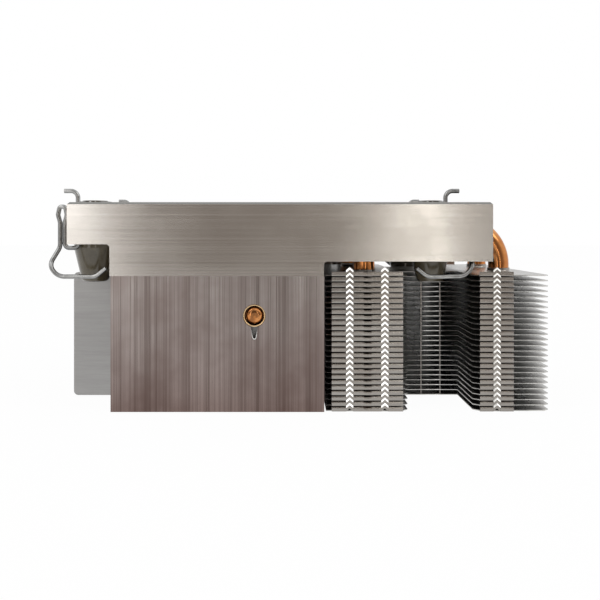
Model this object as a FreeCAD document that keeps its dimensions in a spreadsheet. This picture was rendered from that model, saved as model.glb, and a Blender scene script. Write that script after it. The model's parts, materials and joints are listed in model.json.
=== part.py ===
"""Passive CPU heatsink for a rack server, as a parametric FreeCAD document.

It lies as it rests on a bench: the contact face is up (+Z) and the fins stand below. The origin is the
middle of the contact face, between the four captive nuts. Each sub-part is drawn with its own z = 0 in the
top face of the base block, and is then lowered by the little that the contact plate stands proud.
"""
import FreeCAD
import Part
import Sketcher
import math
import os

SIZES = [
    # base block
    ("base_width", 78.0, "block and both fin stacks, across Y"),
    ("left_overhang", 4.9, "axis of the left nuts to the left end"),
    ("right_overhang", 15.0, "axis of the right nuts to the right end"),
    ("base_thickness", 19.8, "block above the vertical fins"),
    ("end_thickness", 15.9, "block above the horizontal fins"),
    ("flange_thickness", 11.3, "block under each nut collar"),
    ("nut_step_gap", 0.7, "rim of the left nuts to the left step"),
    ("right_step", 16.8, "nut pattern centre to the right step"),
    ("step_radius", 1.0, "inner corner of each step"),
    ("edge_bevel", 0.6, "top rim of the block"),
    # contact plate
    ("plate_length", 56.0, "contact plate along X"),
    ("plate_width", 40.0, "contact plate along Y"),
    ("plate_thickness", 2.4, "contact plate"),
    ("plate_proud", 0.4, "contact face above the block"),
    ("plate_corner", 1.0, "contact plate corner radius"),
    ("solder_gap", 0.05, "joint round pipes and plate"),
    # both fin stacks
    ("sink_height", 56.1, "block top to the fin bottoms"),
    # vertical fins
    ("side_plate_thickness", 0.8, "front and back side plates"),
    ("vertical_thickness", 0.35, "vertical fin sheet"),
    ("vertical_count", 31, "vertical fins between the side plates"),
    ("vertical_gap", 0.1, "fold to the next vertical fin"),
    ("vertical_corner", 1.3, "free corners of the long vertical fins"),
    ("outer_fin_setback", 0.3, "left step to the side plates and the outer fins"),
    ("inner_fin_overhang", 4.2, "long vertical fins beyond the left end"),
    ("vertical_overrun", 0.1, "side plates and vertical fins beyond the right step"),
    ("keyhole_taper_top", 2.4, "keyhole slot width under the round"),
    ("keyhole_end_radius", 0.6, "keyhole slot end"),
    ("keyhole_drop", 5.8, "round to the centre of the slot end"),
    # horizontal fins
    ("fin_thickness", 0.3, "horizontal fin sheet"),
    ("fin_count", 26, "horizontal fins"),
    ("stack_gap", 2.5, "block to the top fold of the stack"),
    ("stack_side_gap", 0.5, "vertical fins to the horizontal fins"),
    ("stack_overhang", 7.6, "long pipes' legs to the right edge of the fins"),
    ("notch_before", 7.5, "axis of the right nuts to the left wall of the driver notch"),
    ("notch_after", 10.1, "axis of the right nuts to the right wall of the driver notch"),
    ("notch_depth", 22.5, "driver notch from the long edge"),
    ("edge_setback", 1.3, "unfolded edges behind the folds"),
    ("fold_inset", 1.5, "fin corner to the start of a fold"),
    ("far_fold_length", 9.0, "fold on the far lobe"),
    ("fold_gap", 0.05, "fold to the fin above"),
    ("lock_width", 1.9, "interlock notch at the fold line"),
    ("lock_height", 0.8, "interlock notch"),
    ("lock_side_gap", 0.1, "interlock tongue in its notch, each side"),
    ("first_lock_inset", 6.3, "left edge of the fins to the first interlock"),
    ("second_lock_inset", 6.4, "second interlock to the driver notch"),
    ("far_lock_inset", 6.0, "driver notch to the interlock on the far lobe"),
    ("wall_fold_before", 6.9, "left wall of the notch to the fold on its back wall"),
    ("wall_fold_after", 5.1, "that fold to the right wall of the notch"),
    # heat pipes
    ("pipe_radius", 3.0, "every heat pipe"),
    ("pipe_tip_radius", 2.2, "rounding of each sealed end"),
    ("pipe_depth", 6.0, "block top to the axis of the four pipes"),
    ("pipe_bend", 11.5, "bend of the four pipes"),
    ("pipe_end_inset", 0.2, "fin bottom to each pipe end"),
    ("long_pipe_start", 36.0, "long pipes, sealed end left of centre"),
    ("long_pipe_overhang", 7.9, "right end of the block to the long pipes' legs"),
    ("long_pipe_y", 14.0, "long pipes, off the centre line"),
    ("short_pipe_start", 20.0, "short pipes, sealed end left of centre"),
    ("short_pipe_inset", 11.3, "left edge of the fins to the short pipes' legs"),
    ("short_pipe_y", 26.0, "short pipes, off the centre line"),
    ("side_pipe_x", 1.8, "side pipe, left of centre"),
    ("side_pipe_depth", 13.2, "block top to the side pipe in the base"),
    ("side_pipe_return", 30.4, "block top to its leg in the fins"),
    ("side_pipe_start", 30.0, "its sealed end in front of centre"),
    ("side_pipe_run_out", 1.5, "back side plate to the start of its bend"),
    ("side_pipe_tip_inset", 0.5, "its free end behind the plate's face"),
    # captive nuts
    ("nut_span_x", 94.0, "nut pattern along X"),
    ("nut_span_y", 56.0, "nut pattern along Y"),
    ("nut_bore_radius", 2.15, "threaded bore, at the crests"),
    ("nut_collar_radius", 3.5, "collar in the block"),
    ("nut_collar_rise", 0.75, "collar above the block"),
    ("nut_skirt_radius", 5.8, "widest part of the cone"),
    ("nut_skirt_height", 0.9, "straight rim of the cone"),
    ("nut_tip_radius", 3.6, "cone at its end"),
    ("nut_tip_round", 1.2, "rounding of the cone's end"),
    ("nut_length", 10.5, "flange to the cone's end"),
    ("nut_running_gap", 0.06, "collar in its hole"),
    ("nut_end_gap", 0.1, "rim under the block, ring over it"),
    ("nut_seat_gap", 0.6, "round the rim in a sunk seat"),
    ("socket_radius", 2.75, "six-lobe socket over its lobes"),
    ("socket_waist", 2.35, "six-lobe socket between its lobes"),
    ("socket_depth", 3.6, "six-lobe socket"),
    ("ring_radius", 4.6, "retaining ring outside"),
    ("ring_thickness", 0.4, "retaining ring"),
    ("ring_groove_radius", 3.05, "groove in the collar"),
    ("ring_mouth", 3.4, "opening of the retaining ring"),
    # rotating wires
    ("wire_radius", 0.68, "spring wire"),
    ("wire_offset_x", 3.2, "upright leg from the axis of its nut, X"),
    ("wire_offset_y", 6.1, "upright leg from the axis of its nut, Y"),
    ("wire_running_gap", 0.06, "leg in its hole"),
    ("wire_under_gap", 0.05, "flange to the start of the bend under it"),
    ("leg_bend", 1.0, "bend under the flange, at the middle of the wire"),
    ("wire_bend", 1.6, "usual bend"),
    ("hook_rise", 3.9, "top of the hook above the block"),
    ("hook_reach", 4.4, "hook tip from the leg"),
    ("hairpin_inner", 3.75, "inner hairpin leg from the pivot leg"),
    ("hairpin_outer", 5.3, "outer hairpin leg from the pivot leg"),
    ("hairpin_top", 1.9, "block top to the top of the hairpin"),
    ("eye_drop", 2.0, "top of the hairpin to the middle of its eye"),
    ("eye_flare", 0.65, "eye beyond the legs, each side"),
    ("eye_bend", 0.9, "bends round the eye"),
    ("elbow_reach", 7.1, "widest point of the handle from the leg"),
    ("elbow_depth", 17.0, "block top to that point"),
    ("elbow_side", 1.9, "that point towards the long edge"),
    ("handle_depth", 20.0, "block top to the handle bar"),
    ("handle_side", 2.6, "handle bar towards the long edge"),
    ("handle_start", 4.6, "outer end of the bar from the leg"),
    ("handle_reach", 5.9, "inner end of the bar from the leg"),
    ("curl_reach", 8.3, "upturned tip from the leg"),
    ("curl_depth", 18.0, "block top to that tip"),
    ("window_gap", 0.8, "round the wire in the block's windows"),
    ("window_front", 3.4, "window from the leg towards the long edge"),
    ("window_back", 6.2, "window from the leg towards the centre line"),
]

# Places along X and Y from the centre of the nut pattern, each worked out from the sizes above.
PLACES = [
    ("base_left", "nut_span_x / 2 + left_overhang", "left end of the block"),
    ("base_right", "nut_span_x / 2 + right_overhang", "right end of the block"),
    ("left_step", "nut_span_x / 2 - nut_skirt_radius - nut_step_gap", "left step"),
    ("outer_fin_left", "left_step - outer_fin_setback", "side plates and outer fins, left edge"),
    ("inner_fin_left", "base_left + inner_fin_overhang", "long vertical fins, left edge"),
    ("vertical_right", "right_step + vertical_overrun", "side plates and vertical fins, right edge"),
    ("stack_left", "vertical_right + stack_side_gap", "horizontal fins, left edge"),
    ("notch_left", "nut_span_x / 2 - notch_before", "driver notch, left wall"),
    ("notch_right", "nut_span_x / 2 + notch_after", "driver notch, right wall"),
    ("near_lock_one", "stack_left + first_lock_inset", "first interlock"),
    ("near_lock_two", "notch_left - second_lock_inset", "second interlock"),
    ("far_lock", "notch_right + far_lock_inset", "interlock on the far lobe"),
    ("far_fold_right", "notch_right + fold_inset + far_fold_length", "end of the fold on the far lobe"),
    ("wall_fold_left", "notch_left + wall_fold_before", "fold on the notch's back wall, left"),
    ("wall_fold_right", "notch_right - wall_fold_after", "fold on the notch's back wall, right"),
    ("short_pipe_x", "stack_left + short_pipe_inset", "short pipes, upright leg"),
    ("long_pipe_x", "base_right + long_pipe_overhang", "long pipes, upright leg"),
    ("stack_right", "long_pipe_x + stack_overhang", "horizontal fins, right edge"),
    ("wire_pivot_x", "nut_span_x / 2 + wire_offset_x", "upright leg of each wire, X"),
    ("wire_pivot_y", "nut_span_y / 2 + wire_offset_y", "upright leg of each wire, Y"),
]

BLOCK_TOP = "-Sheet.plate_proud"
HALF_WIDTH = "Sheet.base_width / 2"
FIN_PITCH = "(Sheet.sink_height - Sheet.end_thickness - Sheet.stack_gap) / Sheet.fin_count"
VERTICAL_PITCH = "(Sheet.base_width - 2 * Sheet.side_plate_thickness) / (Sheet.vertical_count + 1)"
CORNERS = [("front_left", -1, -1), ("front_right", 1, -1), ("back_left", -1, 1), ("back_right", 1, 1)]

doc = FreeCAD.newDocument("server_cpu_heatsink")
sheet = doc.addObject("Spreadsheet::Sheet", "Sheet")
for row, (alias, content, meaning) in enumerate(SIZES + PLACES, start=1):
    formula = str(content) if row <= len(SIZES) else "=" + content
    sheet.set("A%d" % row, alias)
    sheet.set("B%d" % row, formula)
    sheet.set("C%d" % row, meaning)
    sheet.setAlias("B%d" % row, alias)
doc.recompute()
nodes = []


def value(expression):
    """The number that an expression over the sheet gives."""
    return float(sheet.evalExpression(str(expression)))


def size(alias):
    """The number in one named cell of the sheet."""
    return float(sheet.get(alias))


# ---------------------------------------------------------------- sketches and features


def new_body(name, x="0", y="0", z=BLOCK_TOP):
    """A body whose own origin stands at three expressions, listed as a sub-part."""
    body = doc.addObject("PartDesign::Body", name)
    body.Label = name
    body.setExpression("Placement.Base.x", x)
    body.setExpression("Placement.Base.y", y)
    body.setExpression("Placement.Base.z", z)
    nodes.append(body)
    return body


def origin_feature(body, role):
    """An origin plane or axis of the body, found by its role."""
    return next(item for item in body.Origin.OriginFeatures if item.Role == role)


def new_sketch(body, name, plane, offset="0"):
    """A sketch on one of the body's origin planes, moved along its normal by the offset."""
    sketch = body.newObject("Sketcher::SketchObject", name)
    sketch.AttachmentSupport = [(origin_feature(body, plane), "")]
    sketch.MapMode = "FlatFace"
    sketch.setExpression("AttachmentOffset.Base.z", offset)
    return sketch


def bind(sketch, kind, first, second, expression):
    """A driven dimension: of two points, or of one curve where second is None."""
    number = value(expression)
    if second is None:
        index = sketch.addConstraint(Sketcher.Constraint(kind, first, number))
    else:
        index = sketch.addConstraint(Sketcher.Constraint(kind, *first, *second, number))
    sketch.setExpression("Constraints[%d]" % index, expression)


def place(sketch, curve, point, x, y):
    """Holds a point of a curve at two expressions from the sketch's origin."""
    bind(sketch, "DistanceX", (-1, 1), (curve, point), x)
    bind(sketch, "DistanceY", (-1, 1), (curve, point), y)


def add_outline(sketch, corners):
    """A closed outline of straight lines through the corners."""
    start = sketch.GeometryCount
    count = len(corners)
    points = [FreeCAD.Vector(value(x), value(y), 0) for x, y in corners]
    for index in range(count):
        sketch.addGeometry(Part.LineSegment(points[index], points[(index + 1) % count]))
    for index in range(count):
        following = start + (index + 1) % count
        sketch.addConstraint(Sketcher.Constraint("Coincident", start + index, 2, following, 1))
    for index, (x, y) in enumerate(corners):
        place(sketch, start + index, 1, x, y)


def add_circle(sketch, x, y, radius):
    """A circle with its centre at two expressions."""
    centre = FreeCAD.Vector(value(x), value(y), 0)
    circle = sketch.addGeometry(Part.Circle(centre, FreeCAD.Vector(0, 0, 1), value(radius)))
    place(sketch, circle, 3, x, y)
    bind(sketch, "Radius", circle, None, radius)


def rectangle(left, bottom, right, top):
    """The four corners of a rectangle."""
    return [(left, bottom), (right, bottom), (right, top), (left, top)]


def add_pad(body, sketch, name, length, reverse=False, symmetric=False):
    """Material along the sketch's normal."""
    pad = body.newObject("PartDesign::Pad", name)
    pad.Profile = sketch
    pad.setExpression("Length", length)
    pad.Reversed = reverse
    if symmetric:
        pad.SideType = "Symmetric"
    return pad


def add_pocket(body, sketch, name, length, reverse=False, symmetric=False):
    """A cut against the sketch's normal, or along it where reversed."""
    pocket = body.newObject("PartDesign::Pocket", name)
    pocket.Profile = sketch
    pocket.setExpression("Length", length)
    pocket.Reversed = reverse
    if symmetric:
        pocket.SideType = "Symmetric"
    return pocket


def edges_where(feature, test):
    """The names of a feature's edges whose bounding box passes the test."""
    edges = enumerate(feature.Shape.Edges, start=1)
    return ["Edge%d" % number for number, edge in edges if test(edge.BoundBox)]


def near(first, second):
    """Two coordinates that are the same to a thousandth."""
    return abs(first - second) < 1e-3


def dress(body, kind, name, feature, test, property_name, expression):
    """A fillet or chamfer on the edges of a feature that pass the test."""
    doc.recompute()
    dressing = body.newObject("PartDesign::" + kind, name)
    dressing.Base = (feature, edges_where(feature, test))
    dressing.setExpression(property_name, expression)
    return dressing


# ---------------------------------------------------------------- heat pipes and their channels


def bent_path(body, name, offset, start_x, depth, leg_x, leg_end):
    """A line along X, a quarter bend and an upright leg, in a plane across Y."""
    path = new_sketch(body, name, "XZ_Plane", offset)
    bend = value("Sheet.pipe_bend")
    left, axis, leg, end = value(start_x), -value(depth), value(leg_x), -value(leg_end)
    level = path.addGeometry(
        Part.LineSegment(FreeCAD.Vector(left, axis, 0), FreeCAD.Vector(leg - bend, axis, 0))
    )
    centre = FreeCAD.Vector(leg - bend, axis - bend, 0)
    quarter = Part.ArcOfCircle(Part.Circle(centre, FreeCAD.Vector(0, 0, 1), bend), 0, math.pi / 2)
    arc = path.addGeometry(quarter)
    upright = path.addGeometry(
        Part.LineSegment(FreeCAD.Vector(leg, axis - bend, 0), FreeCAD.Vector(leg, end, 0))
    )
    path.addConstraint(Sketcher.Constraint("Horizontal", level))
    path.addConstraint(Sketcher.Constraint("Vertical", upright))
    path.addConstraint(Sketcher.Constraint("Tangent", level, 2, arc, 2))
    path.addConstraint(Sketcher.Constraint("Tangent", arc, 1, upright, 1))
    bind(path, "Radius", arc, None, "Sheet.pipe_bend")
    place(path, level, 1, start_x, "-(%s)" % depth)
    place(path, upright, 2, leg_x, "-(%s)" % leg_end)
    return path


def hairpin_path(body, name, offset, start_y, depth, bend_y, return_depth, end_y):
    """A line along Y, a half turn at the back and a line to the front again, in a plane across X."""
    path = new_sketch(body, name, "YZ_Plane", offset)
    front, upper, back, lower = value(start_y), -value(depth), value(bend_y), -value(return_depth)
    out = path.addGeometry(
        Part.LineSegment(FreeCAD.Vector(front, upper, 0), FreeCAD.Vector(back, upper, 0))
    )
    centre = FreeCAD.Vector(back, (upper + lower) / 2, 0)
    turn = Part.Circle(centre, FreeCAD.Vector(0, 0, 1), (upper - lower) / 2)
    arc = path.addGeometry(Part.ArcOfCircle(turn, -math.pi / 2, math.pi / 2))
    home = path.addGeometry(
        Part.LineSegment(FreeCAD.Vector(back, lower, 0), FreeCAD.Vector(value(end_y), lower, 0))
    )
    path.addConstraint(Sketcher.Constraint("Horizontal", out))
    path.addConstraint(Sketcher.Constraint("Horizontal", home))
    path.addConstraint(Sketcher.Constraint("Tangent", out, 2, arc, 2))
    path.addConstraint(Sketcher.Constraint("Tangent", arc, 1, home, 1))
    bind(path, "DistanceX", (-1, 1), (arc, 3), bend_y)
    place(path, out, 1, start_y, "-(%s)" % depth)
    place(path, home, 2, end_y, "-(%s)" % return_depth)
    return path


def add_tube(body, kind, name, path, plane, offset, x, y, radius):
    """A round bar, or a round channel, swept along a path from a circle on a plane."""
    circle = new_sketch(body, name + "_section", plane, offset)
    add_circle(circle, x, y, radius)
    tube = body.newObject("PartDesign::" + kind, name)
    tube.Profile = circle
    tube.Spine = (path, ["Edge1", "Edge2", "Edge3"])
    return tube


def base_pipes():
    """Name, sealed end, upright leg and side of each of the four pipes that run along the base."""
    pipes = []
    for kind in ("long", "short"):
        for side, sign in (("front", "-"), ("back", "")):
            start = "-Sheet.%s_pipe_start" % kind
            leg = "Sheet.%s_pipe_x" % kind
            across = "%sSheet.%s_pipe_y" % (sign, kind)
            pipes.append(("%s_heat_pipe_%s" % (kind, side), start, leg, across))
    return pipes


LEG_END = "Sheet.sink_height - Sheet.pipe_end_inset"
BEND_Y = "Sheet.base_width / 2 + Sheet.side_pipe_run_out"
SIDE_START = "-Sheet.side_pipe_start"
SIDE_END = "-(Sheet.base_width / 2 - Sheet.side_pipe_tip_inset)"


def round_tips(body, tube):
    """Rounds both sealed ends of a pipe: the closed edges that bound its flat faces."""
    doc.recompute()
    edges = []
    for number, edge in enumerate(tube.Shape.Edges, start=1):
        faces = tube.Shape.ancestorsOfType(edge, Part.Face)
        if edge.isClosed() and any(face.Surface.TypeId == "Part::GeomPlane" for face in faces):
            edges.append("Edge%d" % number)
    tips = body.newObject("PartDesign::Fillet", tube.Name + "_tips")
    tips.Base = (tube, edges)
    tips.setExpression("Radius", "Sheet.pipe_tip_radius")
    return tips


def make_base_pipe(name, start, leg, across):
    """One copper heat pipe that leaves the base downwards."""
    body = new_body(name, y=across)
    path = bent_path(body, name + "_path", "0", start, "Sheet.pipe_depth", leg, LEG_END)
    tube = add_tube(
        body,
        "AdditivePipe",
        name + "_bar",
        path,
        "YZ_Plane",
        start,
        "0",
        "-Sheet.pipe_depth",
        "Sheet.pipe_radius",
    )
    round_tips(body, tube)


def make_side_pipe():
    """The heat pipe that leaves the base at the back and returns through the vertical fins."""
    name = "side_heat_pipe"
    body = new_body(name, x="-Sheet.side_pipe_x")
    depths = ("Sheet.side_pipe_depth", "Sheet.side_pipe_return")
    path = hairpin_path(body, name + "_path", "0", SIDE_START, depths[0], BEND_Y, depths[1], SIDE_END)
    tube = add_tube(
        body,
        "AdditivePipe",
        name + "_bar",
        path,
        "XZ_Plane",
        "Sheet.side_pipe_start",
        "0",
        "-Sheet.side_pipe_depth",
        "Sheet.pipe_radius",
    )
    round_tips(body, tube)


# ---------------------------------------------------------------- base block and contact plate


def block_profile():
    """The stepped side of the block: thin under the left nuts, thickest over the vertical fins."""
    return [
        ("-Sheet.base_left", "0"),
        ("Sheet.base_right", "0"),
        ("Sheet.base_right", "-Sheet.end_thickness"),
        ("Sheet.right_step", "-Sheet.end_thickness"),
        ("Sheet.right_step", "-Sheet.base_thickness"),
        ("-Sheet.left_step", "-Sheet.base_thickness"),
        ("-Sheet.left_step", "-Sheet.flange_thickness"),
        ("-Sheet.base_left", "-Sheet.flange_thickness"),
    ]


def cut_channels(block):
    """Round channels for the five heat pipes, wider than them by the solder joint."""
    radius = "Sheet.pipe_radius + Sheet.solder_gap"
    for name, start, leg, across in base_pipes():
        early = start + " - Sheet.solder_gap"
        offset = "-(%s)" % across
        path = bent_path(block, name + "_channel_path", offset, early, "Sheet.pipe_depth", leg, LEG_END)
        add_tube(
            block,
            "SubtractivePipe",
            name + "_channel",
            path,
            "YZ_Plane",
            early,
            across,
            "-Sheet.pipe_depth",
            radius,
        )
    path = hairpin_path(
        block,
        "side_channel_path",
        "-Sheet.side_pipe_x",
        SIDE_START + " - Sheet.solder_gap",
        "Sheet.side_pipe_depth",
        BEND_Y,
        "Sheet.side_pipe_return",
        SIDE_END,
    )
    add_tube(
        block,
        "SubtractivePipe",
        "side_channel",
        path,
        "XZ_Plane",
        "Sheet.side_pipe_start + Sheet.solder_gap",
        "-Sheet.side_pipe_x",
        "-Sheet.side_pipe_depth",
        radius,
    )


def make_base_block():
    """The machined block with its steps, seats, bores, windows and pipe channels."""
    block = new_body("base_block")
    profile = new_sketch(block, "block_profile", "XZ_Plane")
    add_outline(profile, block_profile())
    bar = add_pad(block, profile, "block_bar", "Sheet.base_width", symmetric=True)

    right, left = size("right_step"), -size("left_step")
    end, flange = -size("end_thickness"), -size("flange_thickness")

    def at_step(box):
        """The inner edge of either step."""
        at_right = near(box.XMin, right) and near(box.XMax, right) and near(box.ZMin, end)
        at_left = near(box.XMin, left) and near(box.XMax, left) and near(box.ZMin, flange)
        return (at_right or at_left) and near(box.ZMax, box.ZMin)

    steps = dress(block, "Fillet", "step_fillets", bar, at_step, "Radius", "Sheet.step_radius")
    dress(
        block,
        "Chamfer",
        "rim_bevel",
        steps,
        lambda box: near(box.ZMin, 0) and near(box.ZMax, 0),
        "Size",
        "Sheet.edge_bevel",
    )

    seat = new_sketch(block, "plate_seat_outline", "XY_Plane")
    half_x = "(Sheet.plate_length / 2 + Sheet.solder_gap)"
    half_y = "(Sheet.plate_width / 2 + Sheet.solder_gap)"
    add_outline(seat, rectangle("-" + half_x, "-" + half_y, half_x, half_y))
    add_pocket(block, seat, "plate_seat", "Sheet.plate_thickness - Sheet.plate_proud")

    cut_channels(block)

    bores = new_sketch(block, "nut_bore_circles", "XY_Plane")
    legs = new_sketch(block, "wire_hole_circles", "XY_Plane")
    for _, side_x, side_y in CORNERS:
        add_circle(
            bores,
            "%d * Sheet.nut_span_x / 2" % side_x,
            "%d * Sheet.nut_span_y / 2" % side_y,
            "Sheet.nut_collar_radius + Sheet.nut_running_gap",
        )
        add_circle(
            legs,
            "%d * Sheet.wire_pivot_x" % side_x,
            "%d * Sheet.wire_pivot_y" % side_y,
            "Sheet.wire_radius + Sheet.wire_running_gap",
        )
    add_pocket(block, bores, "nut_bores", "Sheet.base_thickness")
    add_pocket(block, legs, "wire_holes", "Sheet.base_thickness")

    seats = new_sketch(block, "nut_seat_circles", "XY_Plane", "-Sheet.base_thickness")
    windows = new_sketch(block, "wire_window_outlines", "XY_Plane")
    for side in (-1, 1):
        across = "%d * Sheet.nut_span_y / 2" % side
        add_circle(seats, "Sheet.nut_span_x / 2", across, "Sheet.nut_skirt_radius + Sheet.nut_seat_gap")
        pivot = "%d * Sheet.wire_pivot_y" % side
        outer = "%s + %d * Sheet.window_front" % (pivot, side)
        inner = "%s - %d * Sheet.window_back" % (pivot, side)
        far = "Sheet.wire_pivot_x + Sheet.elbow_reach + Sheet.wire_radius + Sheet.window_gap"
        low, high = sorted((outer, inner), key=value)
        add_outline(windows, rectangle("Sheet.base_left", low, far, high))
    add_pocket(block, seats, "nut_seats", "Sheet.base_thickness - Sheet.flange_thickness", reverse=True)
    add_pocket(block, windows, "wire_windows", "Sheet.base_thickness")

    unders = new_sketch(block, "wire_relief_outlines", "XY_Plane", "-Sheet.base_thickness")
    for side in (-1, 1):
        pivot = "%d * Sheet.wire_pivot_y" % side
        outer = "%s + %d * Sheet.window_front" % (pivot, side)
        inner = "%d * Sheet.nut_span_y / 2" % side
        low, high = sorted((outer, inner), key=value)
        add_outline(unders, rectangle("Sheet.nut_span_x / 2", low, "Sheet.base_left", high))
    add_pocket(block, unders, "wire_reliefs", "Sheet.base_thickness - Sheet.flange_thickness", reverse=True)


def make_contact_plate():
    """The copper plate let into the block, a little proud of it."""
    plate = new_body("contact_plate")
    outline = new_sketch(plate, "plate_outline", "XY_Plane", "Sheet.plate_proud")
    half_x, half_y = "Sheet.plate_length / 2", "Sheet.plate_width / 2"
    add_outline(outline, rectangle("-" + half_x, "-" + half_y, half_x, half_y))
    slab = add_pad(plate, outline, "plate_slab", "Sheet.plate_thickness", reverse=True)
    dress(
        plate,
        "Fillet",
        "plate_corners",
        slab,
        lambda box: near(box.XMin, box.XMax) and near(box.YMin, box.YMax),
        "Radius",
        "Sheet.plate_corner",
    )


# ---------------------------------------------------------------- vertical fins and side plates


def folded_sheet(body, name, front, thickness, fold, left):
    """A sheet across Y from the block to the fin bottoms, folded towards the back at both edges."""
    section = new_sketch(body, name + "_section", "YZ_Plane", "-" + left)
    inner = "%s + %s" % (front, thickness)
    reach = "%s + %s" % (front, fold)
    top, bottom = "-Sheet.base_thickness", "-Sheet.sink_height"
    add_outline(
        section,
        [
            (front, bottom),
            (reach, bottom),
            (reach, "%s + %s" % (bottom, thickness)),
            (inner, "%s + %s" % (bottom, thickness)),
            (inner, "%s - %s" % (top, thickness)),
            (reach, "%s - %s" % (top, thickness)),
            (reach, top),
            (front, top),
        ],
    )
    return add_pad(body, section, name + "_sheet", "%s + Sheet.vertical_right" % left)


def pipe_hole(body, name, depth):
    """The round hole for the side pipe's return leg, through a sheet or a row of sheets."""
    hole = new_sketch(body, name + "_circle", "XZ_Plane", "Sheet.base_width")
    add_circle(hole, "-Sheet.side_pipe_x", "-Sheet.side_pipe_return", "Sheet.pipe_radius + Sheet.solder_gap")
    return add_pocket(body, hole, name, depth)


def round_free_corners(body, name, left):
    """Cuts both left corners of a sheet round, by the space between each corner and its quarter circle."""
    corners = new_sketch(body, name + "_outlines", "XZ_Plane", "Sheet.base_width")
    radius = value("Sheet.vertical_corner")
    edge = "-(%s)" % left
    inward = "%s + Sheet.vertical_corner" % edge
    for level, sign in (("-Sheet.base_thickness", "-"), ("-Sheet.sink_height", "+")):
        along = "%s %s Sheet.vertical_corner" % (level, sign)
        corner = FreeCAD.Vector(value(edge), value(level), 0)
        on_level = FreeCAD.Vector(value(inward), value(level), 0)
        on_edge = FreeCAD.Vector(value(edge), value(along), 0)
        centre = FreeCAD.Vector(value(inward), value(along), 0)
        middle = centre + (corner - centre).normalize() * radius
        first = corners.addGeometry(Part.LineSegment(corner, on_level))
        second = corners.addGeometry(Part.LineSegment(corner, on_edge))
        arc = corners.addGeometry(Part.Arc(on_level, middle, on_edge))
        corners.addConstraint(Sketcher.Constraint("Coincident", first, 1, second, 1))
        place(corners, first, 1, edge, level)
        place(corners, first, 2, inward, level)
        place(corners, second, 2, edge, along)
        level_end, edge_end = (1, 2) if corners.getPoint(arc, 1).isEqual(on_level, 1e-6) else (2, 1)
        corners.addConstraint(Sketcher.Constraint("Coincident", first, 2, arc, level_end))
        corners.addConstraint(Sketcher.Constraint("Coincident", second, 2, arc, edge_end))
        bind(corners, "Radius", arc, None, "Sheet.vertical_corner")
    return add_pocket(body, corners, name, "2 * Sheet.base_width")


def make_fin_group(name, left, first, last, rounded=False):
    """The vertical fins numbered first to last, one solid each, in a row along Y."""
    body = new_body(name)
    front = "-%s + Sheet.side_plate_thickness + %d * %s" % (HALF_WIDTH, first, VERTICAL_PITCH)
    fold = "%s - Sheet.vertical_gap" % VERTICAL_PITCH
    fin = folded_sheet(body, name, front, "Sheet.vertical_thickness", fold, left)
    features = [fin, pipe_hole(body, name + "_hole", "2 * Sheet.base_width")]
    if rounded:
        features.append(round_free_corners(body, name + "_corners", left))
    row = body.newObject("PartDesign::LinearPattern", name + "_row")
    row.Originals = features
    row.Direction = (origin_feature(body, "Y_Axis"), [""])
    row.setExpression("Length", "%d * %s" % (last - first, VERTICAL_PITCH))
    row.Occurrences = last - first + 1
    body.Tip = row


def make_vertical_fins():
    """Short fins beside the nuts, at the front and the back, and longer ones between them."""
    pitch = value(VERTICAL_PITCH)
    start = -value(HALF_WIDTH) + size("side_plate_thickness")
    notch = value(HALF_WIDTH) - size("notch_depth")
    count = int(size("vertical_count"))
    places = [start + number * pitch for number in range(count + 1)]
    before = max(number for number in range(1, count + 1) if places[number] < -notch - pitch / 2)
    after = min(number for number in range(1, count + 1) if places[number] + pitch > notch + pitch / 2)
    make_fin_group("vertical_fins_front", "Sheet.outer_fin_left", 1, before)
    make_fin_group("vertical_fins_middle", "Sheet.inner_fin_left", before + 1, after - 1, rounded=True)
    make_fin_group("vertical_fins_back", "Sheet.outer_fin_left", after, count)


def make_side_plates():
    """The front side plate with its keyhole, and the flat back side plate."""
    front = new_body("front_side_plate")
    fold = "Sheet.side_plate_thickness + %s - Sheet.vertical_gap" % VERTICAL_PITCH
    folded_sheet(
        front, "front_plate", "-" + HALF_WIDTH, "Sheet.side_plate_thickness", fold, "Sheet.outer_fin_left"
    )
    pipe_hole(front, "keyhole_round", "2 * Sheet.base_width")
    slot = new_sketch(front, "keyhole_slot_outline", "XZ_Plane", "Sheet.base_width")
    top = "-Sheet.side_pipe_return"
    end = "-Sheet.side_pipe_return - Sheet.keyhole_drop"
    wide, narrow = "Sheet.keyhole_taper_top / 2", "Sheet.keyhole_end_radius"
    axis = "-Sheet.side_pipe_x"
    add_outline(
        slot,
        [
            ("%s - %s" % (axis, wide), top),
            ("%s - %s" % (axis, narrow), end),
            ("%s + %s" % (axis, narrow), end),
            ("%s + %s" % (axis, wide), top),
        ],
    )
    add_pocket(front, slot, "keyhole_slot", "2 * Sheet.base_width")
    tip = new_sketch(front, "keyhole_end_circle", "XZ_Plane", "Sheet.base_width")
    add_circle(tip, axis, end, narrow)
    add_pocket(front, tip, "keyhole_end", "2 * Sheet.base_width")

    back = new_body("back_side_plate")
    outline = new_sketch(back, "back_plate_outline", "XZ_Plane", "-" + HALF_WIDTH)
    add_outline(
        outline,
        rectangle(
            "-Sheet.outer_fin_left", "-Sheet.sink_height", "Sheet.vertical_right", "-Sheet.base_thickness"
        ),
    )
    add_pad(back, outline, "back_plate_sheet", "Sheet.side_plate_thickness")
    pipe_hole(back, "back_plate_hole", "2 * Sheet.base_width")


# ---------------------------------------------------------------- horizontal fins


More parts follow.
